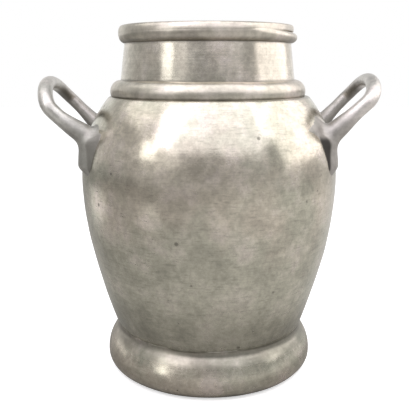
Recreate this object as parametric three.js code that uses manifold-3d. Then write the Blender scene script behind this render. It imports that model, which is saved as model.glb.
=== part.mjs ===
// A small two-handled milk can in soldered sheet metal, with cast handles.
// Millimetres, +Z up. The origin is on the floor, under the middle of the can.
// The front is -Y, and the two handles point along +X and -X.

import * as THREE from 'three'
import { mergeVertices } from 'three/addons/utils/BufferGeometryUtils.js'
import Module from 'manifold-3d'

const wasm = await Module()
wasm.setup()

// Driving dimensions

const GAP = 0.3 // solder line between two pieces
const SEGMENTS = 48 // facets round the can, a multiple of 4
const WALL = 2 // sheet thickness of belly, bottom and foot
const NECK_WALL = 1.8

const WAIST_Z = 31.5 // top of the foot
const WAIST_R = 70.4
const BELLY_Z = 145 // widest level of the belly
const BELLY_R = 95
const SHOULDER_Z = 206.2 // top of the belly shell
const TAPER = 0.008 // belly radius below the widest level falls by TAPER * depth ^ TAPER_POWER
const TAPER_POWER = 1.7
const SHOULDER_CENTRE_R = 22.5 // the shoulder is an ellipse about this radius
const SHOULDER_SEMI_Z = 85.5

const FOOT_BELLY_Z = 11 // widest level of the foot
const FOOT_BELLY_R = 78.9
const FOOT_ARC_R = 29 // arc from the widest level up to the waist
const CONTACT_R = 68 // outer edge of the flat face that stands on the floor
const CONTACT_WIDTH = 4 // rolled hem
const SHELF_R = 64.2 // inner edge of the shelf under the bottom plate
const BOTTOM_R = 66.8
const BOTTOM_RISE = 4

const NECK_Z = 218.2 // where the neck leaves the shoulder bead
const NECK_R = 63.4 // neck radius at that level
const NECK_SLOPE = 0.1224 // loss of radius per millimetre of height
const NECK_TOP_Z = 250.7
const NECK_SET_OFF = -1.1 // the neck and its rings were soldered on a little towards -X
const SHOULDER_BEAD = { r: 63.9, z: 209.3, a: 7.5, b: 8.2 } // half-round, centre and half sizes
const RIM_BEAD = { r: 59.8, z: 246.9, a: 4.9, b: 3.9 }
const MOUTH_LIP = { r: 60.6, z: 252.9, a: 2.9, b: 2.7 }

const LIMB_Y = 36.5 // half the distance between a handle's two limbs
const LIMB_START = -15 // where a limb starts, along its line, inside the belly
const BEND_DEPTH = 17 // how far the rounded end of a loop reaches past the straight limbs
const BEND_CURL = 4.8 // how far the end of the loop curls up out of the limbs' plane
const BACK_ROOT_DROP = 3 // how much lower the back limb is set on the belly
const SAG_REACH = 66 // length of bar, from the front root, over which a limb may sag
// The handles were bent and set by hand, so the two differ a little: a point on the limbs' line,
// the line's slope in degrees, how far past the point the limbs stay straight, how far the bar
// sags at the front, how far the front leaf's outer wing reaches, and the thickness of both leaves.
const HANDLES = {
  right: { x: 89.2, z: 185.1, rise: 42.7, straight: 25.3, sag: 0, wing: 20.5, leaf: 4 },
  left: { x: 89.2, z: 184.1, rise: 41.7, straight: 24.5, sag: 3, wing: 15.5, leaf: 6 }
}
const FRONT_LIMB_R = 5.25
const BACK_LIMB_R = 4.6
const ROOT_FLARE = 2 // extra radius where a limb meets its leaf
const LOOP_SIDES = 10
const LOOP_STEPS = 34

const LEAF_Y = 38 // middle of a leaf
const LEAF = {
  backTip: 18, // the back leaf's outer wing, measured from the leaf's middle
  innerTip: 18, // wing towards the handle's middle
  tipZ: 186,
  topZ: 194,
  shoulderHalf: 8.5, // half width of the tongue where it leaves the wings
  shoulderZ: 176,
  tongueHalf: 6.5,
  tongueZ: 161 // centre of the tongue's round end
}

// Materials: one satin, tarnished white metal, a little different on cast and spun pieces

function metal(colour, roughness) {
  return new THREE.MeshStandardMaterial({ color: colour, roughness, metalness: 1 })
}

const spunBelly = () => metal(0x9a948a, 0.42)
const spunNeck = () => metal(0xa39d92, 0.3)
const polishedRing = () => metal(0xb0aaa0, 0.25)
const castHandle = () => metal(0xa8a39c, 0.3)
const plainBottom = () => metal(0x85807a, 0.55)

// Outlines. Each is a list of (radius, height) points.

const point = (r, z) => new THREE.Vector2(r, z)

// Part of an ellipse, from one angle in degrees to another; 0 points outwards and 90 points up.
function ellipseArc({ r, z, a, b }, from, to, count) {
  const points = []
  for (let i = 0; i <= count; i++) {
    const angle = THREE.MathUtils.degToRad(from + ((to - from) * i) / count)
    points.push(point(r + a * Math.cos(angle), z + b * Math.sin(angle)))
  }
  return points
}

// An open outline moved sideways, to the left of its direction for a positive distance.
function offsetOutline(points, distance) {
  return points.map((here, i) => {
    const before = points[Math.max(i - 1, 0)]
    const after = points[Math.min(i + 1, points.length - 1)]
    const along = after.clone().sub(before).normalize()
    return point(here.x - along.y * distance, here.y + along.x * distance)
  })
}

function bellyRadius(z) {
  if (z < BELLY_Z) return BELLY_R - TAPER * (BELLY_Z - z) ** TAPER_POWER
  const across = BELLY_R - SHOULDER_CENTRE_R
  return SHOULDER_CENTRE_R + across * Math.sqrt(1 - ((z - BELLY_Z) / SHOULDER_SEMI_Z) ** 2)
}

function bellyOutline(fromZ, toZ, count) {
  const points = []
  for (let i = 0; i <= count; i++) {
    const z = fromZ + ((toZ - fromZ) * i) / count
    points.push(point(bellyRadius(z), z))
  }
  return points
}

const neckRadius = (z) => NECK_R + (NECK_Z - z) * NECK_SLOPE

// Solids

function closedLathe(outline) {
  const geometry = new THREE.LatheGeometry([...outline, outline[0].clone()], SEGMENTS)
  return geometry.rotateX(Math.PI / 2)
}

function solidLathe(outline) {
  return new THREE.LatheGeometry(outline, SEGMENTS).rotateX(Math.PI / 2)
}

function toManifold(geometry) {
  const bare = geometry.index ? geometry.clone() : mergeVertices(geometry)
  bare.deleteAttribute('normal')
  bare.deleteAttribute('uv')
  const merged = mergeVertices(bare, 1e-4)
  const corners = merged.index.array
  const triVerts = []
  for (let i = 0; i < corners.length; i += 3) {
    const [a, b, c] = [corners[i], corners[i + 1], corners[i + 2]]
    if (a !== b && b !== c && c !== a) triVerts.push(a, b, c)
  }
  return new wasm.Manifold(
    new wasm.Mesh({
      numProp: 3,
      vertProperties: new Float32Array(merged.attributes.position.array),
      triVerts: new Uint32Array(triVerts)
    })
  )
}

function toGeometry(manifold) {
  const mesh = manifold.getMesh()
  const geometry = new THREE.BufferGeometry()
  geometry.setAttribute('position', new THREE.BufferAttribute(mesh.vertProperties, 3))
  geometry.setIndex(new THREE.BufferAttribute(mesh.triVerts, 1))
  geometry.computeVertexNormals()
  return geometry
}

// The same solid on the other side of the can.
function mirrored(geometry) {
  const copy = geometry.clone().scale(-1, 1, 1)
  const corners = copy.index.array
  for (let i = 0; i < corners.length; i += 3) {
    const swap = corners[i]
    corners[i] = corners[i + 1]
    corners[i + 1] = swap
  }
  copy.computeVertexNormals()
  return copy
}

function named(name, geometry, material) {
  const mesh = new THREE.Mesh(geometry, material)
  mesh.name = name
  return mesh
}

// Body pieces

function bodyShell() {
  const outer = bellyOutline(WAIST_Z + GAP, SHOULDER_Z, 16)
  const inner = offsetOutline(bellyOutline(WAIST_Z + GAP, SHOULDER_Z - WALL, 13), WALL)
  inner[0].y = WAIST_Z + GAP
  const bore = neckRadius(SHOULDER_Z) - NECK_WALL
  inner[inner.length - 1].y = SHOULDER_Z - WALL
  const flange = [point(bore, SHOULDER_Z), point(bore, SHOULDER_Z - WALL)]
  return named('body_shell', closedLathe([...outer, ...flange, ...inner.reverse()]), spunBelly())
}

function bottomPlate() {
  const seat = WAIST_Z + GAP
  const outline = []
  for (let i = 0; i <= 4; i++) {
    const share = i / 4
    outline.push(point(BOTTOM_R * share, seat + BOTTOM_RISE * (1 - share * share)))
  }
  for (let i = 4; i >= 0; i--) {
    const share = i / 4
    outline.push(point(BOTTOM_R * share, seat + WALL + BOTTOM_RISE * (1 - share * share)))
  }
  return named('bottom_plate', solidLathe(outline), plainBottom())
}

function footRing() {
  const low = { r: CONTACT_R, z: FOOT_BELLY_Z, a: FOOT_BELLY_R - CONTACT_R, b: FOOT_BELLY_Z }
  const high = { r: FOOT_BELLY_R - FOOT_ARC_R, z: FOOT_BELLY_Z, a: FOOT_ARC_R, b: FOOT_ARC_R }
  const waistAngle = THREE.MathUtils.radToDeg(Math.asin((WAIST_Z - FOOT_BELLY_Z) / FOOT_ARC_R))
  const outer = [...ellipseArc(low, -90, 0, 5), ...ellipseArc(high, 0, waistAngle, 5).slice(1)]
  const inner = offsetOutline(outer, WALL)
  inner[0].set(CONTACT_R, WALL)
  inner[inner.length - 1].set(WAIST_R - WALL * 1.5, WAIST_Z - WALL)
  const shelf = [point(SHELF_R, WAIST_Z), point(SHELF_R, WAIST_Z - WALL)]
  const contact = [point(CONTACT_R - CONTACT_WIDTH, WALL), point(CONTACT_R - CONTACT_WIDTH, 0)]
  const outline = [...outer, ...shelf, ...inner.reverse(), ...contact]
  return named('foot_ring', closedLathe(outline), spunNeck())
}

// Neck and mouth pieces

function neckCollar() {
  const low = SHOULDER_Z + GAP
  const outline = [
    point(neckRadius(low), low),
    point(neckRadius(NECK_TOP_Z), NECK_TOP_Z),
    point(neckRadius(NECK_TOP_Z) - NECK_WALL, NECK_TOP_Z),
    point(neckRadius(low) - NECK_WALL, low)
  ]
  return named('neck_collar', closedLathe(outline), spunNeck())
}

// A half-round ring that fits round the neck: its bore follows the neck's taper.
function neckRing(name, section, from, to, count) {
  const round = ellipseArc(section, from, to, count)
  const first = round[0]
  const last = round[round.length - 1]
  const bore = [
    point(neckRadius(last.y) + GAP, last.y),
    point(neckRadius(first.y) + GAP, first.y)
  ]
  return named(name, closedLathe([...round, ...bore]), polishedRing())
}

function mouthLip() {
  const round = ellipseArc(MOUTH_LIP, -44, 168, 9)
  const inside = point(round[round.length - 1].x, round[0].y)
  return named('mouth_lip', closedLathe([...round, inside]), polishedRing())
}

// Handles

// Centre line of a handle on the +X side: two straight limbs joined by half an ellipse that
// curls up.
class HandleLoop extends THREE.Curve {
  constructor(handle) {
    super()
    this.handle = handle
  }

  getPoint(t, target = new THREE.Vector3()) {
    const { x, z, rise, straight, sag } = this.handle
    const limb = straight - LIMB_START
    const bend = Math.PI * Math.sqrt((BEND_DEPTH ** 2 + LIMB_Y ** 2) / 2)
    const travelled = t * (2 * limb + bend)
    let along
    let y
    let drop = sag * Math.sin(Math.PI * Math.min(travelled / SAG_REACH, 1)) ** 2
    if (travelled < limb) {
      along = LIMB_START + travelled
      y = -LIMB_Y
    } else if (travelled > limb + bend) {
      along = LIMB_START + 2 * limb + bend - travelled
      y = LIMB_Y
      drop = (BACK_ROOT_DROP * (straight - along)) / limb
    } else {
      const angle = (Math.PI * (travelled - limb)) / bend
      along = straight + BEND_DEPTH * Math.sin(angle)
      y = -LIMB_Y * Math.cos(angle)
    }
    const slope = THREE.MathUtils.degToRad(rise)
    const lift = BEND_CURL * Math.max(0, (along - straight) / BEND_DEPTH) ** 2 - drop
    const outwards = x + along * Math.cos(slope) - lift * Math.sin(slope)
    const upwards = z + along * Math.sin(slope) + lift * Math.cos(slope)
    return target.set(outwards, y, upwards)
  }
}

// The front limb is thicker than the back one, and each limb flares at its root.
function loopRadius(t) {
  const blend = THREE.MathUtils.smoothstep(t, 0.3, 0.7)
  const bar = THREE.MathUtils.lerp(FRONT_LIMB_R, BACK_LIMB_R, blend)
  const rootShare = THREE.MathUtils.smoothstep(Math.abs(t - 0.5), 0.3, 0.45)
  return bar + ROOT_FLARE * rootShare
}

// A closed bar of changing radius along a curve.
function taperedBar(curve, radiusAt, sides, steps) {
  const frames = curve.computeFrenetFrames(steps, false)
  const positions = []
  const corners = []
  for (let i = 0; i <= steps; i++) {
    const centre = curve.getPointAt(i / steps)
    const radius = radiusAt(i / steps)
    for (let j = 0; j < sides; j++) {
      const angle = (2 * Math.PI * j) / sides
      const spoke = frames.normals[i].clone().multiplyScalar(Math.cos(angle) * radius)
      spoke.addScaledVector(frames.binormals[i], Math.sin(angle) * radius).add(centre)
      positions.push(spoke.x, spoke.y, spoke.z)
    }
  }
  for (let i = 0; i < steps; i++) {
    for (let j = 0; j < sides; j++) {
      const a = i * sides + j
      const b = i * sides + ((j + 1) % sides)
      corners.push(a, b, b + sides, a, b + sides, a + sides)
    }
  }
  const last = steps * sides
  for (let j = 1; j < sides - 1; j++) {
    corners.push(0, j + 1, j)
    corners.push(last, last + j, last + j + 1)
  }
  const geometry = new THREE.BufferGeometry()
  geometry.setAttribute('position', new THREE.Float32BufferAttribute(positions, 3))
  geometry.setIndex(corners)
  return geometry
}

// Everything inside the belly's outline moved out by a distance, near the handles.
function swollenBelly(distance) {
  const skin = offsetOutline(bellyOutline(120, SHOULDER_Z, 22), -distance)
  const low = point(0, skin[0].y)
  const high = point(0, skin[skin.length - 1].y)
  return toManifold(solidLathe([low, ...skin, high]))
}

// A leaf's outline, as (distance from its middle towards its outer side, height).
function leafOutline(outerTip) {
  const shape = new THREE.Shape()
  const tongueTop = LEAF.shoulderZ
  const wingTop = LEAF.tipZ + 3
  shape.moveTo(outerTip, LEAF.tipZ)
  shape.quadraticCurveTo(outerTip * 0.5, wingTop, 0, LEAF.topZ)
  shape.quadraticCurveTo(-LEAF.innerTip * 0.5, wingTop, -LEAF.innerTip, LEAF.tipZ)
  shape.quadraticCurveTo(-LEAF.shoulderHalf - 2, tongueTop + 5, -LEAF.shoulderHalf, tongueTop)
  shape.lineTo(-LEAF.tongueHalf, LEAF.tongueZ)
  shape.absarc(0, LEAF.tongueZ, LEAF.tongueHalf, Math.PI, 2 * Math.PI, false)
  shape.lineTo(LEAF.shoulderHalf, tongueTop)
  shape.quadraticCurveTo(LEAF.shoulderHalf + 2, tongueTop + 5, outerTip, LEAF.tipZ)
  return shape
}

// The outline cut through the thin layer that lies on the belly. `face` is -1 at the front limb
// and 1 at the back limb.
function leaf(face, outerTip, layer) {
  const block = new THREE.ExtrudeGeometry(leafOutline(outerTip), {
    depth: 80,
    bevelEnabled: false,
    curveSegments: 6
  })
  const basis = new THREE.Matrix4().makeBasis(
    new THREE.Vector3(0, 1, 0),
    new THREE.Vector3(0, 0, 1),
    new THREE.Vector3(1, 0, 0)
  )
  block.applyMatrix4(basis).translate(40, LEAF_Y, 0)
  let cut = toManifold(block).intersect(layer)
  if (face < 0) cut = cut.mirror([0, 1, 0])
  return toGeometry(cut)
}

function handleMeshes() {
  const meshes = []
  for (const [side, handle] of Object.entries(HANDLES)) {
    const loopCutter = swollenBelly(handle.leaf + 2 * GAP)
    const layer = swollenBelly(handle.leaf + GAP).subtract(swollenBelly(GAP))
    const bar = taperedBar(new HandleLoop(handle), loopRadius, LOOP_SIDES, LOOP_STEPS)
    const pieces = {
      handle_loop: toGeometry(toManifold(bar).subtract(loopCutter)),
      front_leaf: leaf(-1, handle.wing, layer),
      back_leaf: leaf(1, LEAF.backTip, layer)
    }
    for (const [name, geometry] of Object.entries(pieces)) {
      const placed = side === 'left' ? mirrored(geometry) : geometry
      meshes.push(named(`${side}_${name}`, placed, castHandle()))
    }
  }
  return meshes
}

const neck = new THREE.Group()
neck.position.x = NECK_SET_OFF
neck.add(
  neckRing('shoulder_bead', SHOULDER_BEAD, -20, 88, 7),
  neckCollar(),
  neckRing('rim_bead', RIM_BEAD, -70, 70, 7),
  mouthLip()
)

const can = new THREE.Group()
can.add(footRing(), bottomPlate(), bodyShell(), neck, ...handleMeshes())

export default can
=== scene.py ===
"""A small two-handled milk can in tarnished white metal, on a pale floor in soft studio light.

Every shown piece is a fine mesh that stands for one or more CAD nodes. Shapes are worked out in
millimetres, in the CAD frame, and stored in metres. The front of the can is -Y.
"""

import math

import bpy
import numpy as np
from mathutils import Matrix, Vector, noise


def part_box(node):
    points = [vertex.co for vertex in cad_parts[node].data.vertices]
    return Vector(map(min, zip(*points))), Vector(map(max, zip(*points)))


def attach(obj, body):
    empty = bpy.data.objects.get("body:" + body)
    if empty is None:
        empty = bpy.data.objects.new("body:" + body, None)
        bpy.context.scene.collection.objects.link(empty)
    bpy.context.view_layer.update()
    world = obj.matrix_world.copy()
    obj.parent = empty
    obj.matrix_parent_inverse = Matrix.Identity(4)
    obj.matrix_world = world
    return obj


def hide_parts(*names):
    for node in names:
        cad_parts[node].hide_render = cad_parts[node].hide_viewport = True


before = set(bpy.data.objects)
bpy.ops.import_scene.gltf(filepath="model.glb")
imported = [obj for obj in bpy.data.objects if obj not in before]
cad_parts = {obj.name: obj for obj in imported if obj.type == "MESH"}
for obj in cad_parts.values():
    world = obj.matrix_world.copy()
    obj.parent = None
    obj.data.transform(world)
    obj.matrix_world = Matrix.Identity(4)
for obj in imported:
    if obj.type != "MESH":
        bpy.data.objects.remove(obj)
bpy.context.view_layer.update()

MM = 0.001


def box_mm(node):
    """Lowest and highest corner of a CAD node, in millimetres."""
    low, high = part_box(node)
    return low / MM, high / MM


# Places and sizes taken from the frame

belly_high = box_mm("body_shell")[1]
neck_low, neck_high = box_mm("neck_collar")
bead_low, bead_high = box_mm("shoulder_bead")
rim_low, rim_high = box_mm("rim_bead")
lip_low, lip_high = box_mm("mouth_lip")
foot_high = box_mm("foot_ring")[1]
plate_low, plate_high = box_mm("bottom_plate")

WAIST_Z = foot_high.z  # where the foot meets the belly
SHOULDER_Z = belly_high.z  # top of the belly, under the shoulder bead
BELLY_R = belly_high.y
NECK_X = (neck_low.x + neck_high.x) / 2
BEAD_X = (bead_low.x + bead_high.x) / 2
RIM_X = (rim_low.x + rim_high.x) / 2
LIP_X = (lip_low.x + lip_high.x) / 2

# Shape of the metal, repeated from the CAD source

WALL = 2.0
NECK_WALL = 1.8
BELLY_Z = 145.0  # widest level of the belly
TAPER, TAPER_POWER = 0.008, 1.7  # below it, the radius falls by TAPER * depth ** TAPER_POWER
SHOULDER_CENTRE_R, SHOULDER_SEMI_Z = 22.5, 85.5  # above it, the outline is an ellipse
NECK_SLOPE = 0.1224  # loss of radius per millimetre of height
NECK_LOW_R = neck_high.y
FOOT_BELLY_Z = 11.0  # widest level of the foot
FOOT_ARC_R = 29.0
CONTACT_R, CONTACT_WIDTH, SHELF_R = 68.0, 4.0, 64.2
BOTTOM_RISE = 4.0
BEAD_HALF_WIDTH, BEAD_HALF_HEIGHT = 7.5, 8.2

SEAM = 0.25  # how far a piece reaches into its neighbour, so that no light shows between them
RING_OVERLAP = 1.0  # how far the rings reach into the neck
FLAT_START = 1.0  # a flat top's first row lies this far inside its edge
SIDES = 288  # facets round the can


# Meshes


def smoothstep(x, low, high):
    """0 below low and 1 above high, eased in between."""
    t = np.clip((x - low) / (high - low), 0, 1)
    return t * t * (3 - 2 * t)


def new_piece(name, points, faces, nodes, slot, material):
    """A smooth mesh from points in millimetres. It rides on the can and stands for CAD nodes."""
    mesh = bpy.data.meshes.new(name)
    mesh.from_pydata((np.asarray(points) * MM).tolist(), [], [list(f) for f in faces])
    mesh.validate()
    mesh.shade_smooth()
    mesh.materials.append(material)
    piece = bpy.data.objects.new(name, mesh)
    bpy.context.scene.collection.objects.link(piece)
    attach(piece, "root")
    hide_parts(*nodes)
    return piece


def ring_faces(rows, sides):
    """Quads over a closed grid of points, with rows along the outline and sides round the axis."""
    faces = []
    for i in range(rows):
        here, there = i * sides, ((i + 1) % rows) * sides
        for j in range(sides):
            k = (j + 1) % sides
            faces.append((here + j, here + k, there + k, there + j))
    return faces


def revolved(outline_at, centre_x=0.0, dent=0.0, dent_size=45.0, seed=0.0):
    """Points and faces of a closed outline turned round the axis.

    outline_at(angle) gives the outline's (radius, height) rows at that angle, anticlockwise. dent
    is the height of soft, hand-made unevenness, and dent_size is its width.
    """
    angles = 2 * np.pi * np.arange(SIDES) / SIDES
    outlines = np.array([outline_at(a) for a in angles])  # sides, rows, 2
    rows = outlines.shape[1]
    radius, height = outlines[..., 0].T, outlines[..., 1].T
    points = np.stack([radius * np.cos(angles), radius * np.sin(angles), height], -1)
    if dent:
        fine_scale, fine_share = 3.1, 0.3  # a second, smaller unevenness on the first
        places = points.reshape(-1, 3) / dent_size
        push = [noise.noise(Vector(p) + Vector((seed, 0, 0))) for p in places]
        fine = [noise.noise(Vector(p) * fine_scale + Vector((0, seed, 0))) for p in places]
        push = dent * (np.array(push) + fine_share * np.array(fine)).reshape(rows, SIDES)
        points[..., 0] += push * np.cos(angles)
        points[..., 1] += push * np.sin(angles)
    points[..., 0] += centre_x
    return points.reshape(-1, 3), ring_faces(rows, SIDES)


def arc(r, z, a, b, start, end, count, power=2.0):
    """Part of an ellipse, or of a squarer superellipse, between two angles in degrees."""
    points = []
    for i in range(count + 1):
        t = math.radians(start + (end - start) * i / count)
        c, s = math.cos(t), math.sin(t)
        c = math.copysign(abs(c) ** (2 / power), c)
        s = math.copysign(abs(s) ** (2 / power), s)
        points.append((r + a * c, z + b * s))
    return points


def quadratic(start, bend, end, count=10):
    """Points along a quadratic curve from start up to, and not with, end."""
    t = np.linspace(0, 1, count, endpoint=False)[:, None]
    start, bend, end = np.array(start), np.array(bend), np.array(end)
    return (1 - t) ** 2 * start + 2 * t * (1 - t) * bend + t * t * end


def line(start, end, count):
    """Points from start up to, and not with, end."""
    return [
        (start[0] + (end[0] - start[0]) * i / count, start[1] + (end[1] - start[1]) * i / count)
        for i in range(count)
    ]


def belly_radius(z):
    """Outer radius of the belly at a height."""
    low = BELLY_R - TAPER * np.maximum(BELLY_Z - z, 0) ** TAPER_POWER
    share = np.clip((z - BELLY_Z) / SHOULDER_SEMI_Z, 0, 1)
    high = SHOULDER_CENTRE_R + (BELLY_R - SHOULDER_CENTRE_R) * np.sqrt(1 - share**2)
    return np.where(z < BELLY_Z, low, high)


def neck_radius(z):
    """Outer radius of the neck at a height."""
    return NECK_LOW_R + (neck_low.z - z) * NECK_SLOPE


# Pieces turned round the axis


def belly_piece(material):
    # The shoulder turns in under the bead on part of an ellipse, from turn_start in degrees.
    turn_r, turn_z, turn_start = 4.5, 2.6, 24.7
    slant = 1.15  # the wall's thickness measured level, over its thickness
    start = math.radians(turn_start)
    start_z = SHOULDER_Z - turn_z * (1 - math.sin(start))
    heights = np.linspace(WAIST_Z - SEAM, start_z, 120)
    outer = list(zip(belly_radius(heights), heights))
    corner_r = outer[-1][0] - turn_r * math.cos(start)
    outer = outer[:-1] + arc(corner_r, SHOULDER_Z - turn_z, turn_r, turn_z, turn_start, 90, 9)
    bore = float(neck_radius(neck_low.z)) - NECK_WALL
    flange = line((corner_r - FLAT_START, SHOULDER_Z), (bore, SHOULDER_Z), 3)
    flange += [(bore, SHOULDER_Z), (bore, SHOULDER_Z - WALL)]
    heights = np.linspace(SHOULDER_Z - WALL, WAIST_Z - SEAM, 60)
    inner = list(zip(belly_radius(heights) - WALL * slant, heights))
    outline = outer + flange + inner
    shape = revolved(lambda angle: outline, dent=0.42, dent_size=38.0, seed=3.0)
    return new_piece("belly", *shape, ["body_shell"], "belly", material)


def filleted(outer):
    """The foot's outline, run out onto the belly along a hollow curve of solder."""
    reach, sunk = 3.2, 0.05
    corner = np.array([float(belly_radius(WAIST_Z)), WAIST_Z])
    kept = [p for p in outer if math.dist(p, outer[-1]) > reach]
    top = (float(belly_radius(WAIST_Z + reach)) - sunk, WAIST_Z + reach)
    return kept + [tuple(p) for p in quadratic(kept[-1], corner, top, 12)[1:]] + [top]


def foot_piece(material):
    foot_r = foot_high.y
    arc_centre_r = foot_r - FOOT_ARC_R
    waist_angle = math.degrees(math.asin((WAIST_Z - FOOT_BELLY_Z) / FOOT_ARC_R))
    outer = arc(CONTACT_R, FOOT_BELLY_Z, foot_r - CONTACT_R, FOOT_BELLY_Z, -90, 0, 26)[:-1]
    outer += arc(arc_centre_r, FOOT_BELLY_Z, FOOT_ARC_R, FOOT_ARC_R, 0, waist_angle, 30)
    outer = filleted(outer)
    shelf = line((outer[-1][0] - FLAT_START, WAIST_Z), (SHELF_R, WAIST_Z), 3)
    shelf += [(SHELF_R, WAIST_Z), (SHELF_R, WAIST_Z - WALL)]
    inner_arc_r, inner_start = FOOT_ARC_R - WALL, 38
    inner = arc(arc_centre_r, FOOT_BELLY_Z, inner_arc_r, inner_arc_r, inner_start, 0, 14)
    inner_a, inner_b = foot_r - CONTACT_R - WALL, FOOT_BELLY_Z - WALL
    inner += arc(CONTACT_R, FOOT_BELLY_Z, inner_a, inner_b, 0, -90, 14)
    hem_r = CONTACT_R - CONTACT_WIDTH
    hem = arc(hem_r + WALL / 2, WALL / 2, WALL / 2, WALL / 2, 90, 270, 8)
    outline = outer + shelf + inner + hem
    shape = revolved(lambda angle: outline, dent=0.28, dent_size=30.0, seed=8.0)
    return new_piece("foot", *shape, ["foot_ring"], "foot", material)


def bottom_piece(material):
    reach = plate_high.y
    edge_round = 0.35
    shares = np.linspace(1, 0.004, 40)  # the rows end just short of the axis
    under = [(reach * s, plate_low.z + BOTTOM_RISE * (1 - s * s)) for s in shares]
    over = [(r, z + WALL) for r, z in reversed(under)]
    edge = arc(reach, plate_low.z + WALL / 2, edge_round, WALL / 2, 80, -80, 4)
    outline = (under + over + edge)[::-1]
    shape = revolved(lambda angle: outline, dent=0.1, seed=5.0)
    return new_piece("bottom", *shape, ["bottom_plate"], "bottom", material)


def shoulder_bead_piece(material):
    centre_r = bead_high.y - BEAD_HALF_WIDTH
    centre_z = bead_high.z - BEAD_HALF_HEIGHT
    bore_top_z = bead_high.z - 0.5  # the bead's top runs down a little into the neck
    bore = [
        (neck_radius(bead_high.z) - RING_OVERLAP, bore_top_z),
        (neck_radius(SHOULDER_Z) - RING_OVERLAP, SHOULDER_Z),
    ]

    def outline_at(angle):
        # The bead was bent and filed by hand, so its height sways a little round the can.
        sway = 0.22 * math.sin(3 * angle + 0.8) + 0.14 * math.sin(8 * angle)
        return arc(centre_r, centre_z, BEAD_HALF_WIDTH, BEAD_HALF_HEIGHT + sway, -24, 90, 30) + bore

    shape = revolved(outline_at, BEAD_X, dent=0.2, dent_size=25.0, seed=1.0)
    return new_piece("shoulder_ring", *shape, ["shoulder_bead"], "rings", material)


def neck_piece(material):
    low, high = neck_low.z - SEAM, neck_high.z + SEAM
    outer = [(neck_radius(z), z) for z in np.linspace(low, high, 40)]
    inner = [(neck_radius(z) - NECK_WALL, z) for z in np.linspace(high, low, 24)]
    outline = outer + inner
    shape = revolved(lambda angle: outline, NECK_X, dent=0.16, dent_size=26.0, seed=6.0)
    return new_piece("neck", *shape, ["neck_collar"], "neck", material)


# The rim is one half-round at -X; towards +X its two rings draw apart. Each pair below is a
# measure where the rings are one, and where they are furthest apart.

RIM_WIDEST_Z = (249.6, 247.3)
RIM_HALF_WIDTH = 4.9
RIM_UP = (5.2, 3.3)  # height of the rim bead above its widest level, as far as it is round
RIM_TOP_ANGLE = (34, 74)  # where its round stops under the lip, in degrees
LIP_OUTER_R = (rim_high.y, 61.9)
LIP_CREST_SHIFT = (0.4, 0.6)  # how far the crest lies outside the middle of the lip
LIP_LOW_Z = (250.3, 250.9)
LIP_EDGE_R = (0.05, 0.9)
LIP_POWER = (2.15, 2.7)
LIP_MOUTH_DROP = 2.6  # height of the lip's round on the inside of the mouth


def opened(angle):
    """How far the rim's rings are apart at an angle. 0 to 1."""
    return smoothstep(math.cos(angle), 0.35, 1.0)


def between(pair, share):
    """A value that runs from the pair's first number to its second as share goes from 0 to 1."""
    return pair[0] + (pair[1] - pair[0]) * share


def rim_bead_piece(material):
    centre_r = rim_high.y - RIM_HALF_WIDTH
    low_z = rim_low.z

    def outline_at(angle):
        share = opened(angle)
        widest_z = between(RIM_WIDEST_Z, share)
        top_angle = between(RIM_TOP_ANGLE, share)
        under = arc(centre_r, widest_z, RIM_HALF_WIDTH, widest_z - low_z, -84, 0, 26)[:-1]
        over = arc(centre_r, widest_z, RIM_HALF_WIDTH, between(RIM_UP, share), 0, top_angle, 14)
        bore = neck_radius(widest_z) - RING_OVERLAP
        return under + over + [(bore, over[-1][1]), (bore, under[0][1])]

    shape = revolved(outline_at, RIM_X, dent=0.16, dent_size=22.0, seed=2.0)
    return new_piece("rim", *shape, ["rim_bead"], "rings", material)


def mouth_lip_piece(material):
    top_z = lip_high.z
    inner_r = neck_radius(neck_high.z) - NECK_WALL
    mouth_clearance = 0.2

    def outline_at(angle):
        share = opened(angle)
        outer_r = between(LIP_OUTER_R, share)
        crest_r = (outer_r + inner_r) / 2 + between(LIP_CREST_SHIFT, share)
        low = between(LIP_LOW_Z, share)
        edge_r = between(LIP_EDGE_R, share)
        start_z = low + edge_r
        corner = arc(outer_r - edge_r, start_z, edge_r, edge_r, -90, -8, 7)
        power = between(LIP_POWER, share)
        over = arc(crest_r, start_z, outer_r - crest_r, top_z - start_z, 0, 90, 22, power)
        mouth_z = top_z - LIP_MOUTH_DROP
        inner = arc(crest_r, mouth_z, crest_r - inner_r, LIP_MOUTH_DROP, 96, 172, 12)
        return corner + over + inner + [(inner_r + mouth_clearance, low)]

    shape = revolved(outline_at, LIP_X, dent=0.16, dent_size=22.0, seed=2.0)
    return new_piece("lip", *shape, ["mouth_lip"], "rings", material)


# Handles: one casting each, with a leaf at both ends, from a distance field

LIMB_Y = 36.5
LIMB_START = -15.0  # where the bar starts inside the belly, along the limb
BEND_DEPTH = 17.0
BEND_CURL = 4.8  # how far the bend rises from the limbs' plane
BACK_ROOT_DROP = 3.0
SAG_REACH = 66.0  # the front limb's sag ends this far along the bar
FRONT_LIMB_R, BACK_LIMB_R = 5.25, 4.6
ROOT_FLARE = 2.0
# x and z are where the limbs' plane starts, and rise is its slope in degrees. straight is a limb's
# length from there to the bend. sag is how far the front limb hangs. wing is the reach of the
# front leaf's outer wing, leaf the thickness of the tongues and ridge that of the wings. The last
# number is how dark the painted shade and tarnish in the grooves beside the tongues are.
HANDLES = {
    "right": {
        "x": 89.2, "z": 185.1, "rise": 42.7, "straight": 25.3, "sag": 0.0, "wing": 20.5,
        "leaf": 4.9, "ridge": 1.5, "groove_shade": 1.0,
    },
    "left": {
        "x": 89.2, "z": 184.1, "rise": 41.7, "straight": 24.5, "sag": 3.0, "wing": 15.5,
        "leaf": 6.8, "ridge": 0.2, "groove_shade": 0.8,
    },
}

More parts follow.
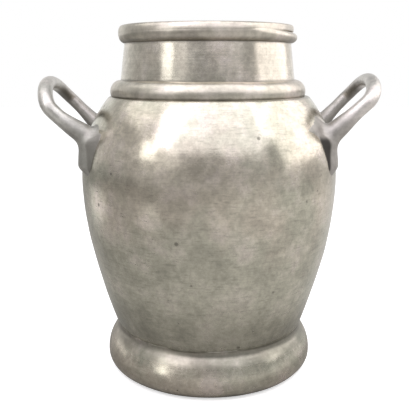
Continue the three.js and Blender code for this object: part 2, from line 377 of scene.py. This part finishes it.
LEAF_Y = 38.0  # middle of a leaf
TIP_Z, LEAF_TOP_Z = 186.0, 194.0
BACK_TIP, INNER_TIP = 18.0, 18.0  # the leaf's other wings, measured from its middle
TONGUE_TOP_Z, TONGUE_TOP_HALF = 176.0, 8.5
TONGUE_END_Z, TONGUE_HALF = 161.0, 6.5
TONGUE_END_SHARE = 0.8  # the tongue's height at its end, as a share of that at its top
TONGUE_SPREAD = 1.2  # how much further it reaches on its outer side
MELT = 2.5  # a leaf runs out onto the belly this far past its outline
SUNK = 0.35  # its edge starts this far under the belly's surface
FILLET = 6.0
BURIED = 0.9  # how far a handle reaches under the belly's surface
CELL = 0.7
FIELD_REACH = 9.0  # the field is only true this close to the surface
FIELD_LOW = np.array([58.0, -64.0, 148.0])  # corner of the grid round a handle
FIELD_BACK_Y, FIELD_MARGIN = 64.0, 2.0
# Where the painted shade and tarnish beside each tongue lies.
GROOVE_SIDES = (5.6, 8.2, 10.5, 13.0)  # across a leaf: it starts, is full, starts to fade, ends
GROOVE_TOP = (190.0, 177.0)  # the height where it starts, and where it is full


def loop_line(handle, count=420):
    """Centres and radii along a handle's bar, as if it were on the +X side."""
    straight = handle["straight"]
    limb = straight - LIMB_START
    bend = math.pi * math.sqrt((BEND_DEPTH**2 + LIMB_Y**2) / 2)
    share = np.linspace(0, 1, count)
    travelled = share * (2 * limb + bend)
    angle = np.clip((travelled - limb) / bend, 0, 1) * np.pi
    on_back = travelled > limb + bend
    bent = straight + BEND_DEPTH * np.sin(angle)
    along = np.where(travelled < limb, LIMB_START + travelled, bent)
    along = np.where(on_back, LIMB_START + 2 * limb + bend - travelled, along)
    y = -LIMB_Y * np.cos(angle)
    # lift is the distance from the limbs' plane
    lift = BEND_CURL * (np.maximum(0, along - straight) / BEND_DEPTH) ** 2
    lift -= np.where(on_back, BACK_ROOT_DROP * (straight - along) / limb, 0)
    lift -= handle["sag"] * np.sin(np.pi * np.minimum(travelled / SAG_REACH, 1)) ** 2
    slope = math.radians(handle["rise"])
    x = handle["x"] + along * math.cos(slope) - lift * math.sin(slope)
    z = handle["z"] + along * math.sin(slope) + lift * math.cos(slope)
    # The bar thins over the bend, and flares towards both roots.
    radius = FRONT_LIMB_R + (BACK_LIMB_R - FRONT_LIMB_R) * smoothstep(share, 0.3, 0.7)
    radius = radius + ROOT_FLARE * smoothstep(np.abs(share - 0.5), 0.3, 0.45)
    return np.stack([x, y, z], 1), radius


def leaf_outline(outer_tip):
    """Corners of a leaf as (distance from its middle towards its outer side, height)."""
    top = (0, LEAF_TOP_Z)
    outer, inner = (outer_tip, TIP_Z), (-INNER_TIP, TIP_Z)
    waist_z, wing_z = TONGUE_TOP_Z + 5, TIP_Z + 3
    end = np.linspace(np.pi, 2 * np.pi, 14)
    tongue = np.stack([TONGUE_HALF * np.cos(end), TONGUE_END_Z + TONGUE_HALF * np.sin(end)], 1)
    return np.concatenate(
        [
            quadratic(outer, (outer_tip * 0.5, wing_z), top),
            quadratic(top, (-INNER_TIP * 0.5, wing_z), inner),
            quadratic(inner, (-TONGUE_TOP_HALF - 2, waist_z), (-TONGUE_TOP_HALF, TONGUE_TOP_Z)),
            [(-TONGUE_TOP_HALF, TONGUE_TOP_Z)],
            tongue,
            quadratic((TONGUE_TOP_HALF, TONGUE_TOP_Z), (TONGUE_TOP_HALF + 2, waist_z), outer),
        ]
    )


def outline_distance(points, corners):
    """Distance from points to a closed outline, negative inside."""
    nearest = np.full(len(points), 1e9)
    inside = np.zeros(len(points), bool)
    for a, b in zip(corners, np.roll(corners, -1, axis=0)):
        edge = b - a
        offset = points - a
        t = np.clip(offset @ edge / max(edge @ edge, 1e-9), 0, 1)
        nearest = np.minimum(nearest, np.linalg.norm(offset - t[:, None] * edge, axis=1))
        if a[1] != b[1]:
            crossing = (a[1] > points[:, 1]) != (b[1] > points[:, 1])
            reach = a[0] + (points[:, 1] - a[1]) * edge[0] / edge[1]
            inside ^= crossing & (points[:, 0] < reach)
    return np.where(inside, -nearest, nearest)


def smooth_max(a, b, width):
    h = np.maximum(width - np.abs(a - b), 0) / width
    return np.maximum(a, b) + h * h * width / 4


def smooth_min(a, b, width):
    return -smooth_max(-a, -b, width)


def bar_field(axes, centres, radii):
    """Distance to the bar near it, from the balls along its line."""
    field = np.full([len(a) for a in axes], FIELD_REACH)
    for centre, radius in zip(centres, radii):
        near = []
        for a, c in zip(axes, centre):
            reach = radius + FIELD_REACH
            near.append(slice(*np.searchsorted(a, [c - reach, c + reach])))
        x, y, z = (a[s] - c for a, s, c in zip(axes, near, centre))
        apart = np.sqrt(x[:, None, None] ** 2 + y[None, :, None] ** 2 + z[None, None, :] ** 2)
        block = field[tuple(near)]
        np.minimum(block, apart - radius, out=block)
    return field


def above_belly(axes):
    """Height of each grid point above the belly's surface."""
    x, y, z = axes
    out = np.hypot(x[:, None], y[None, :])
    slope = belly_radius(z + 0.5) - belly_radius(z - 0.5)
    tilt = 1 / np.sqrt(1 + slope**2)
    return (out[:, :, None] - belly_radius(z)) * tilt


def leaf_field(axes, height, outer_tip, thickness, wing_rise):
    """Distance to one leaf, a swelling of the belly inside and a little past its outline."""
    tongue_ramp, wing_ramp = 5.0, 4.5  # distance inside the outline where each is at full height
    tongue_roundness = 0.75
    slim_z, full_z = 156, 178  # where the tongue is thinnest and thickest
    wing_z, tongue_z = 184, 174  # the wings turn into the tongue between these heights
    wing_side, tongue_side = 14, 8  # and between these distances from the leaf's middle
    y, z = np.meshgrid(axes[1], axes[2], indexing="ij")
    across = np.abs(y) - LEAF_Y
    flat = np.stack([across, z], -1).reshape(-1, 2)
    inside = -outline_distance(flat, leaf_outline(outer_tip)).reshape(y.shape)
    share = TONGUE_END_SHARE + (1 - TONGUE_END_SHARE) * smoothstep(z, slim_z, full_z)
    spread = inside + TONGUE_SPREAD * smoothstep(across, 0, 5)
    tongue = thickness * share * smoothstep(spread, -MELT, tongue_ramp) ** tongue_roundness
    wing = wing_rise * smoothstep(inside, -MELT, wing_ramp)
    on_tongue = smoothstep(-z, -wing_z, -tongue_z)
    on_tongue = on_tongue * smoothstep(-np.abs(across), -wing_side, -tongue_side)
    inside = inside + (spread - inside) * on_tongue
    swelling = wing + (tongue - wing) * on_tongue - SUNK - np.maximum(-MELT - inside, 0)
    steep = np.hypot(*np.gradient(swelling, CELL))
    return (height - swelling[None]) / np.sqrt(1 + steep**2)[None]


def surface_net(field, axes):
    """A quad mesh round the grid cells where the field changes sign, its faces pointing out."""
    total = np.zeros((field.size, 3))
    hits = np.zeros(field.size)
    unit = np.eye(3, dtype=int)
    quads = []
    for axis in range(3):
        count = field.shape[axis]
        near = np.take(field, np.arange(count - 1), axis)
        far = np.take(field, np.arange(1, count), axis)
        start = np.argwhere((near < 0) != (far < 0))
        low, high = near[tuple(start.T)], far[tuple(start.T)]
        crossing = start + np.outer(low / (low - high), unit[axis])
        b, c = unit[(axis + 1) % 3], unit[(axis + 2) % 3]
        cells = np.stack([start, start - b, start - b - c, start - c], 1)
        ids = np.ravel_multi_index(tuple(np.moveaxis(cells, -1, 0)), field.shape)
        for corner in range(4):
            np.add.at(total, ids[:, corner], crossing)
            np.add.at(hits, ids[:, corner], 1)
        quads.append(np.where((low < 0)[:, None], ids, ids[:, ::-1]))
    used = np.flatnonzero(hits)
    place = np.zeros(field.size, int)
    place[used] = np.arange(len(used))
    origin = np.array([a[0] for a in axes])
    points = origin + total[used] / hits[used][:, None] * CELL
    return points, place[np.concatenate(quads)]


def sampled(grid, axes, points):
    """A grid's values at points, by straight-line interpolation."""
    place = (points - np.array([a[0] for a in axes])) / CELL
    place = np.clip(place, 0, np.array(grid.shape) - 1.001)
    base = place.astype(int)
    share = place - base
    value = 0
    for corner in np.ndindex(2, 2, 2):
        weight = np.prod(np.where(corner, share, 1 - share), axis=1)
        value = value + weight * grid[tuple((base + corner).T)]
    return value


def settled(points, field, axes):
    """Points moved onto the field's zero surface."""
    least = 0.2  # keeps a step short where the field is nearly flat
    slopes = np.gradient(field, CELL)
    for _ in range(3):
        slope = np.stack([sampled(g, axes, points) for g in slopes], 1)
        value = sampled(field, axes, points)
        points = points - slope * (value / np.maximum((slope**2).sum(1), least))[:, None]
    return points


def shade_and_tarnish_marks(points, centres, radii, groove_shade):
    """How dark each point of a handle is painted, 0 to 1: tarnish and painted shade beside the
    tongues, and painted shade under the back limb and near the front limb's root.
    """
    y, z = points[:, 1], points[:, 2]
    across = np.abs(y) - LEAF_Y
    start, full, full_end, end = GROOVE_SIDES
    groove = smoothstep(across, start, full) * smoothstep(-across, -end, -full_end)
    groove = groove * smoothstep(-z, -GROOVE_TOP[0], -GROOVE_TOP[1])

    # Each point's place along the bar: past its nearest centre, among every stride-th one.
    stride = 10
    apart = np.linalg.norm(points[:, None, :] - centres[None, ::stride, :], axis=2)
    nearest = apart.argmin(1) * stride
    run = np.gradient(centres, axis=0)
    step = np.linalg.norm(run, axis=1)
    run = (run / step[:, None])[nearest]
    past = ((points - centres[nearest]) * run).sum(1)

    # Painted shade: the back limb is darker and rougher, most of all underneath, and so is the
    # front limb near its root.
    under = (centres[nearest, 2] + run[:, 2] * past - z) / radii[nearest]
    back = smoothstep(y, 8.0, 24.0) * (0.25 + 0.55 * smoothstep(under, -0.3, 0.5))
    travelled = step[0] * nearest + past
    root = 0.5 * smoothstep(-travelled, -36, -18)
    return np.maximum.reduce([groove * groove_shade, back, root])


def handle_piece(name, handle, material):
    """A handle with its two leaves. It is shaped on the +X side, and "left" mirrors it."""
    centres, radii = loop_line(handle)
    high = centres.max(0) + radii.max() + FIELD_MARGIN
    ends = (high[0], FIELD_BACK_Y, high[2])
    axes = [np.arange(a, b, CELL) for a, b in zip(FIELD_LOW, ends)]
    height = above_belly(axes)
    bar = bar_field(axes, centres, radii)
    front = axes[1] < 0
    tips = ((front, handle["wing"]), (~front, BACK_TIP))
    leaves = [
        leaf_field(
            (axes[0], axes[1][side], axes[2]), height[:, side], tip, handle["leaf"], handle["ridge"]
        )
        for side, tip in tips
    ]
    leaves = np.minimum(np.concatenate(leaves, 1), FIELD_REACH)
    # The ground is the belly itself, which the bar melts into. It sinks away from the bar.
    ground_reach, ground_fall = 5, 0.6
    ground = height + SUNK + ground_fall * np.maximum(bar - ground_reach, 0)
    field = smooth_min(bar, np.minimum(leaves, ground), FILLET)
    field = smooth_max(field, -BURIED - height, 0.3)
    points, faces = surface_net(field, axes)
    points = settled(points, field, axes)
    # Painted shade and tarnish: beside the tongues, under the back limb and near the front limb's
    # root.
    marks = shade_and_tarnish_marks(points, centres, radii, handle["groove_shade"])
    if name == "left":
        points = points * (-1, 1, 1)
        faces = faces[:, ::-1]
    nodes = [f"{name}_{part}" for part in ("handle_loop", "front_leaf", "back_leaf")]
    piece = new_piece(f"{name}_handle", points, faces, nodes, "handles", material)
    painted_shade_and_tarnish = piece.data.attributes.new("painted_shade_and_tarnish", "FLOAT", "POINT")
    painted_shade_and_tarnish.data.foreach_set("value", marks.astype(np.float32))
    ease = piece.modifiers.new("ease", "SMOOTH")
    ease.factor = 0.5
    ease.iterations = 4
    return piece


# Materials


class Nodes:
    """A small helper that adds nodes to one tree."""

    def __init__(self, tree):
        self.tree = tree

    def put(self, socket, value):
        """Links another node's output to a socket, or sets the socket's own value."""
        if isinstance(value, bpy.types.NodeSocket):
            self.tree.links.new(value, socket)
        else:
            socket.default_value = value

    def add(self, kind, **inputs):
        node = self.tree.nodes.new(kind)
        for name, value in inputs.items():
            self.put(node.inputs[name.replace("_", " ")], value)
        return node

    def math(self, operation, *values):
        node = self.tree.nodes.new("ShaderNodeMath")
        node.operation = operation
        for socket, value in zip(node.inputs, values):
            self.put(socket, value)
        return node.outputs[0]

    def length(self, x, y):
        """Distance from the axis."""
        squares = [self.math("MULTIPLY", value, value) for value in (x, y)]
        return self.math("SQRT", self.math("ADD", *squares))

    def stretched(self, x, y, z, round_it, up_it):
        """Coordinates scaled by one number round the can and another up it."""
        scaled = {"X": (x, round_it), "Y": (y, round_it), "Z": (z, up_it)}
        inputs = {key: self.math("MULTIPLY", *pair) for key, pair in scaled.items()}
        return self.add("ShaderNodeCombineXYZ", **inputs).outputs[0]

    def ramp(self, value, low, high, to_low=0.0, to_high=1.0):
        """value from low to high, eased into to_low to to_high."""
        node = self.add("ShaderNodeMapRange", Value=value, From_Min=low, From_Max=high)
        node.interpolation_type = "SMOOTHSTEP"
        self.put(node.inputs["To Min"], to_low)
        self.put(node.inputs["To Max"], to_high)
        return node.outputs["Result"]

    def mix(self, share, a, b, blend="MIX"):
        node = self.tree.nodes.new("ShaderNodeMix")
        node.data_type = "RGBA"
        node.blend_type = blend
        for index, value in ((0, share), (6, a), (7, b)):
            self.put(node.inputs[index], value)
        return node.outputs[2]

    def noise(self, where, scale, detail=3.0, roughness=0.5, fourth=None):
        """Noise at a place, which can have a fourth coordinate."""
        node = self.add("ShaderNodeTexNoise", Vector=where, Scale=scale, Detail=detail)
        node.inputs["Roughness"].default_value = roughness
        if fourth is not None:
            node.noise_dimensions = "4D"
            self.put(node.inputs["W"], fourth)
        return node.outputs["Fac"]


def tone(r, g, b):
    return (r, g, b, 1.0)


SPUN = (tone(0.585, 0.53, 0.44), tone(0.5, 0.483, 0.395), tone(0.66, 0.58, 0.535))
POLISHED = (tone(0.59, 0.535, 0.455), tone(0.525, 0.495, 0.42), tone(0.64, 0.575, 0.54))
CAST = (tone(0.615, 0.583, 0.548), tone(0.555, 0.545, 0.503), tone(0.65, 0.595, 0.565))
WORN_RINGS = (tone(0.565, 0.515, 0.445), tone(0.505, 0.475, 0.4), tone(0.62, 0.555, 0.525))
# The dark of pits and streaks, and of the painted shade and tarnish along each crease and in the
# handles' grooves.
TARNISH_AND_SHADE = tone(0.13, 0.122, 0.105)
DEEP_SHADE_AND_TARNISH = tone(0.045, 0.042, 0.038)  # painted shade and tarnish in the deepest grooves beside the tongues

# Sizes of the marks on the metal, as repeats per metre; the last two pairs are round and up the can
CLOUDS, PATCHES, MOTTLE, PITS = 17.0, 42.0, 230.0, 95.0
SPIN_LINES = (24.0, 1100.0)
STREAKS = (130.0, 750.0)
OLIVE_TO, OLIVE_FROM = 0.05, 0.15  # heights between which the olive tint sets in


def metal(name, tints, roughness, spin=0.0, pitted=0.0, crease_shade=(), painted_shade_and_tarnish=False, olive=0.0):
    """Worn white metal: patina in large soft patches, fine lines from spinning, dark pits and
    streaks, and tarnish with painted shade along each crease. Each crease is its height and reach,
    in metres, and its strength. tints are the main colour and two that it drifts to. A flag says
    that the mesh carries an attribute of tarnish and painted shade, in the handles' grooves beside
    the tongues, under the back limb and near the front limb's root. olive is how far the second
    tint takes over towards the foot, where the third gives way."""
    material = bpy.data.materials.new(name)
    material.use_nodes = True
    n = Nodes(material.node_tree)
    where = n.add("ShaderNodeTexCoord").outputs["Object"]
    x, y, z = n.add("ShaderNodeSeparateXYZ", Vector=where).outputs

    # Lines from spinning follow the height and the radius, and hardly change round the can.
    across_lines = n.math("MULTIPLY", n.length(x, y), SPIN_LINES[1])
    lines = n.noise(n.stretched(x, y, z, *SPIN_LINES), 1.0, 3.0, fourth=across_lines)

    clouds = n.noise(where, CLOUDS, 4.0, 0.6)
    patches = n.noise(where, PATCHES, 5.0, 0.65)
    mottle = n.noise(where, MOTTLE, 5.0, 0.75)
    main, second, third = tints
    clouds = n.math("ADD", clouds, n.ramp(z, OLIVE_TO, OLIVE_FROM, olive, 0.0))
    colour = n.mix(n.ramp(clouds, 0.4, 0.62), main, second)
    pink = n.ramp(patches, 0.48, 0.72, 0.0, 0.65)
    pink = n.math("MULTIPLY", pink, n.ramp(z, OLIVE_TO, OLIVE_FROM, 1 - 2 * olive, 1.0))
    colour = n.mix(pink, colour, third)
    shade = n.ramp(mottle, 0.3, 0.7, 0.85, 1.14)
    shade = n.math("MULTIPLY", shade, n.ramp(patches, 0.3, 0.62, 0.82, 1.07))
    shade = n.math("MULTIPLY", shade, n.ramp(lines, 0.3, 0.7, 1 - 0.1 * spin, 1 + 0.04 * spin))
    grey = n.add("ShaderNodeCombineColor", Red=shade, Green=shade, Blue=shade).outputs[0]
    colour = n.mix(1.0, colour, grey, "MULTIPLY")

    # A cell whose random number is high holds a pit, and the number sets the pit's size.
    cells = n.add("ShaderNodeTexVoronoi", Vector=where, Scale=PITS)
    chance = n.add("ShaderNodeSeparateColor", Color=cells.outputs["Color"]).outputs[0]
    size = n.ramp(chance, 0.7, 1.0, 0.0, 0.17 * pitted)
    pit = n.ramp(n.math("SUBTRACT", size, cells.outputs["Distance"]), -0.04, 0.07, 0.0, 0.7)

    streaks = n.noise(n.stretched(x, y, z, *STREAKS), 1.0, 3.0)
    dark = n.math("MAXIMUM", pit, n.ramp(streaks, 0.53, 0.72, 0.0, 0.22 * pitted))
    tarnish = TARNISH_AND_SHADE
    # Painted shade and tarnish along each crease.
    for height, reach, strength in crease_shade:
        away = n.math("ABSOLUTE", n.math("SUBTRACT", z, height))
        away = n.math("ADD", away, n.math("MULTIPLY", n.math("SUBTRACT", patches, 0.5), reach))
        dark = n.math("MAXIMUM", dark, n.ramp(away, reach, 0.0, 0.0, strength))
    # Painted shade and tarnish from the handles' mesh attribute, near black where it is deepest.
    if painted_shade_and_tarnish:
        marked = n.add("ShaderNodeAttribute")
        marked.attribute_name = "painted_shade_and_tarnish"
        marked = marked.outputs["Fac"]
        dark = n.math("MAXIMUM", dark, n.math("MULTIPLY", marked, 0.95))
        tarnish = n.mix(n.ramp(marked, 0.8, 1.0), TARNISH_AND_SHADE, DEEP_SHADE_AND_TARNISH)
    colour = n.mix(dark, colour, tarnish)

    rough = n.ramp(patches, 0.3, 0.75, roughness * 0.85, roughness * 1.2)
    rough = n.math("ADD", rough, n.math("MULTIPLY", dark, 0.2))
    relief = n.math("MULTIPLY", lines, 0.35 * spin)
    relief = n.math("ADD", relief, n.math("MULTIPLY", mottle, 0.45))
    relief = n.math("SUBTRACT", relief, n.math("MULTIPLY", pit, 1.5))
    bump = n.add("ShaderNodeBump", Strength=0.3, Distance=0.00018, Height=relief)

    surface = n.tree.nodes["Principled BSDF"]
    n.put(surface.inputs["Base Color"], colour)
    n.put(surface.inputs["Roughness"], rough)
    n.put(surface.inputs["Normal"], bump.outputs[0])
    surface.inputs["Metallic"].default_value = 1.0
    return material


waist, shoulder = WAIST_Z * MM, SHOULDER_Z * MM
neck_foot, rim_foot = bead_high.z * MM, rim_low.z * MM
# Painted shade and tarnish along each crease; the belly's second entry is a broad painted shade
# above the foot.
belly_crease_shade = [(waist, 0.007, 0.6), (waist, 0.036, 0.16), (shoulder, 0.0018, 0.55)]
foot_crease_shade = [(waist, 0.011, 0.65)]
neck_crease_shade = [(neck_foot, 0.0016, 0.55), (rim_foot, 0.0016, 0.55)]
ring_crease_shade = [(shoulder, 0.0016, 0.55), (rim_foot, 0.004, 0.6)]
belly_metal = metal(
    "satin_belly", SPUN, roughness=0.22, spin=0.5, pitted=1.0, crease_shade=belly_crease_shade, olive=0.28
)
foot_metal = metal("foot_metal", SPUN, roughness=0.24, spin=0.5, pitted=0.6, crease_shade=foot_crease_shade)
neck_metal = metal(
    "neck_metal", POLISHED, roughness=0.21, spin=0.7, pitted=0.1, crease_shade=neck_crease_shade
)
ring_metal = metal("ring_metal", WORN_RINGS, roughness=0.35, spin=0.12, crease_shade=ring_crease_shade)
handle_metal = metal("handle_metal", CAST, roughness=0.4, pitted=0.3, painted_shade_and_tarnish=True)
bottom_metal = metal("dull_bottom", SPUN, roughness=0.45, spin=1.0, pitted=1.0)

belly_piece(belly_metal)
foot = foot_piece(foot_metal)
bottom_piece(bottom_metal)
shoulder_bead_piece(ring_metal)
neck_piece(neck_metal)
rim_bead_piece(ring_metal)
mouth_lip_piece(ring_metal)
handles = [handle_piece(side, sizes, handle_metal) for side, sizes in HANDLES.items()]


# Floor, light and camera


def card(name, width, height, material):
    """A stage card in its own XY plane, facing +Z."""
    x, y = width / 2, height / 2
    mesh = bpy.data.meshes.new(name)
    mesh.from_pydata([(-x, -y, 0), (x, -y, 0), (x, y, 0), (-x, y, 0)], [], [(0, 1, 2, 3)])
    mesh.materials.append(material)
    made = bpy.data.objects.new(name, mesh)
    bpy.context.scene.collection.objects.link(made)
    return made


def softbox(name, place, target, width, height, radiance, colour=(1, 1, 1)):
    """A rectangular light that faces a target. It is as bright to look at, whatever its size."""
    data = bpy.data.lights.new(name, "AREA")
    data.shape = "RECTANGLE"
    data.size, data.size_y = width, height
    data.energy = radiance * 4 * width * height
    data.color = colour
    light = bpy.data.objects.new(name, data)
    bpy.context.scene.collection.objects.link(light)
    light.visible_camera = False
    light.location = place
    light.rotation_mode = "QUATERNION"
    light.rotation_quaternion = (Vector(place) - Vector(target)).to_track_quat("Z", "Y")
    return light


def round_can(azimuth, elevation, distance, middle):
    """A place round a point on the axis; azimuth 0 is in front of the can and 90 on its +X side."""
    a, e = math.radians(azimuth), math.radians(elevation)
    x, y = math.sin(a) * math.cos(e), -math.cos(a) * math.cos(e)
    return Vector((x * distance, y * distance, middle[2] + math.sin(e) * distance))


def window(name, middle, azimuth, elevation, distance, *size_and_light):
    """A softbox that stands round a point on the axis and faces it."""
    return softbox(name, round_can(azimuth, elevation, distance, middle), middle, *size_and_light)


def light_only(light, *pieces):
    """Keeps a light off everything but some pieces."""
    receivers = bpy.data.collections.new(light.name)
    for piece in pieces:
        receivers.objects.link(piece)
    light.light_linking.receiver_collection = receivers


# Points on the can's axis that the lights stand round and face
foot_middle, waist_middle, belly_middle = (0, 0, 0.02), (0, 0, 0.045), (0, 0, 0.1)
can_middle, handles_middle, neck_middle = (0, 0, 0.13), (0, 0, 0.165), (0, 0, 0.225)

LILAC, ROSE, WARM = (1.0, 0.975, 1.06), (1.0, 0.965, 1.07), (1.0, 0.965, 0.97)

# The main box hangs close, from above the camera to over the can.
box_low, box_high = Vector((0.1, -0.56, 0.425)), Vector((0.1, 0.12, 0.95))
box_slope = box_high - box_low
facing = box_slope.cross(Vector((1, 0, 0))).normalized()
box_middle = (box_low + box_high) / 2
softbox("main_box", box_middle, box_middle + facing, 0.95, box_slope.length, 1.0, LILAC)

# Smaller ones stand round the can, as the windows that the metal shows. Each one's numbers are
# its azimuth, elevation and distance, then its width, height and radiance.
window("neck_window", neck_middle, -51, 15, 0.5, 0.13, 0.12, 1.9)
window("neck_fill", neck_middle, -33, 13, 0.5, 0.14, 0.1, 0.42)
window("side_window", can_middle, -43, 45, 1.2, 0.36, 0.72, 2.1, ROSE)
window("right_box", handles_middle, 95, 31, 0.75, 0.85, 0.66, 1.15, WARM)
window("left_box", can_middle, -95, 47, 1.3, 0.9, 0.5, 0.75)
softbox("left_panel", round_can(-108, -13, 0.43, can_middle), belly_middle, 0.2, 0.08, 0.42)
softbox("low_window", round_can(-46, 0, 0.36, waist_middle), foot_middle, 0.1, 0.07, 0.28)
foot_window = window("foot_window", foot_middle, -49, 14, 0.8, 0.15, 0.5, 1.5)
light_only(foot_window, foot)
handle_fill = window("handle_fill", handles_middle, -55, -6, 0.5, 0.5, 0.25, 0.3)
light_only(handle_fill, *handles)

FLOOR_SIZE = 6.0
FLOOR_WHITE, FLOOR_REFLECTED = tone(0.85, 0.85, 0.85), tone(0.34, 0.335, 0.32)
FLOOR_GLOW = 0.55  # the floor's own light, as the camera sees it


def pale_floor():
    """White as the camera sees it, and greyer in the metal, so that the can keeps its tones."""
    material = bpy.data.materials.new("pale_floor")
    material.use_nodes = True
    n = Nodes(material.node_tree)
    seen = n.add("ShaderNodeLightPath").outputs["Is Camera Ray"]
    surface = n.tree.nodes["Principled BSDF"]
    n.put(surface.inputs["Base Color"], n.mix(seen, FLOOR_REFLECTED, FLOOR_WHITE))
    where = n.add("ShaderNodeTexCoord").outputs["Object"]
    x, y, _ = n.add("ShaderNodeSeparateXYZ", Vector=where).outputs
    away = n.length(x, y)
    # Seen in the metal, the floor's glow is painted light: none close to the can, as a painted
    # shadow, and more towards +X.
    near = n.math("MULTIPLY", n.ramp(away, 0.1, 0.16, 0.0, 0.13), n.ramp(x, -0.3, 0.2, 0.4, 1.75))
    far = n.math("MULTIPLY", n.ramp(away, 0.15, 0.8, 0.0, 0.22), n.ramp(x, -0.5, 0.6, 0.1, 0.8))
    unseen = n.math("ADD", near, far)  # its own light in the metal
    glow = n.math("ADD", unseen, n.math("MULTIPLY", seen, n.math("SUBTRACT", FLOOR_GLOW, unseen)))
    n.put(surface.inputs["Emission Strength"], glow)
    surface.inputs["Emission Color"].default_value = (1, 1, 1, 1)
    surface.inputs["Roughness"].default_value = 0.9
    return material


card("floor", FLOOR_SIZE, FLOOR_SIZE, pale_floor())


def studio_world():
    """Plain white behind the picture. The metal reflects a greyer room: dimmer in front, lighter
    towards the ceiling and behind the can."""
    world = bpy.data.worlds.new("studio")
    world.use_nodes = True
    n = Nodes(world.node_tree)
    look = n.add("ShaderNodeTexCoord").outputs["Generated"]
    x, y, z = n.add("ShaderNodeSeparateXYZ", Vector=look).outputs

    def region(across, along):
        """A soft-edged region of the room, from two ramps."""
        return n.math("MULTIPLY", n.ramp(*across), n.ramp(*along))

    walls = n.math("ADD", 0.55, n.ramp(z, 0.05, 0.35, 0.0, 0.05))
    ceiling = n.ramp(z, 0.75, 0.98, 0.0, 0.4)
    low_behind = region((y, 0.1, 0.9, 0.0, 0.5), (z, 0.15, 0.65, 1.0, 0.0))
    low_right = region((x, 0.5, 1.0, 0.0, 0.12), (z, 0.0, 0.25, 1.0, 0.0))
    low_left = region((x, -0.97, -0.85, 0.25, 0.0), (z, -0.05, 0.12, 1.0, 0.0))
    beside = n.math("ABSOLUTE", n.math("ADD", x, 0.03))
    in_front = region((beside, 0.05, 0.4, 0.2, 0.05), (y, -0.5, 0.0, 1.0, 0.0))
    in_front = n.math("MULTIPLY", in_front, n.ramp(z, 0.05, 0.16))
    room = walls
    for lighter in (ceiling, low_behind, low_right):
        room = n.math("ADD", room, lighter)
    for darker in (low_left, in_front):
        room = n.math("SUBTRACT", room, darker)
    seen = n.add("ShaderNodeLightPath").outputs["Is Camera Ray"]
    strength = n.math("ADD", room, n.math("MULTIPLY", seen, n.math("SUBTRACT", 1.0, room)))
    background = n.tree.nodes["Background"]
    background.inputs["Color"].default_value = (1, 1, 1, 1)
    n.put(background.inputs["Strength"], strength)
    return world


bpy.context.scene.world = studio_world()
bpy.context.scene.view_settings.view_transform = "Standard"

CAMERA_PLACE = (-0.0034, -0.4875, 0.22875)
CAMERA_DOWN = 12.197  # degrees that it looks down
LENS, SENSOR = 57.2, 36.0

camera_data = bpy.data.cameras.new("camera")
camera_data.lens = LENS
camera_data.sensor_width = SENSOR
camera = bpy.data.objects.new("camera", camera_data)
bpy.context.scene.collection.objects.link(camera)
camera.location = CAMERA_PLACE
camera.rotation_euler = (math.radians(90 - CAMERA_DOWN), 0, 0)
bpy.context.scene.camera = camera
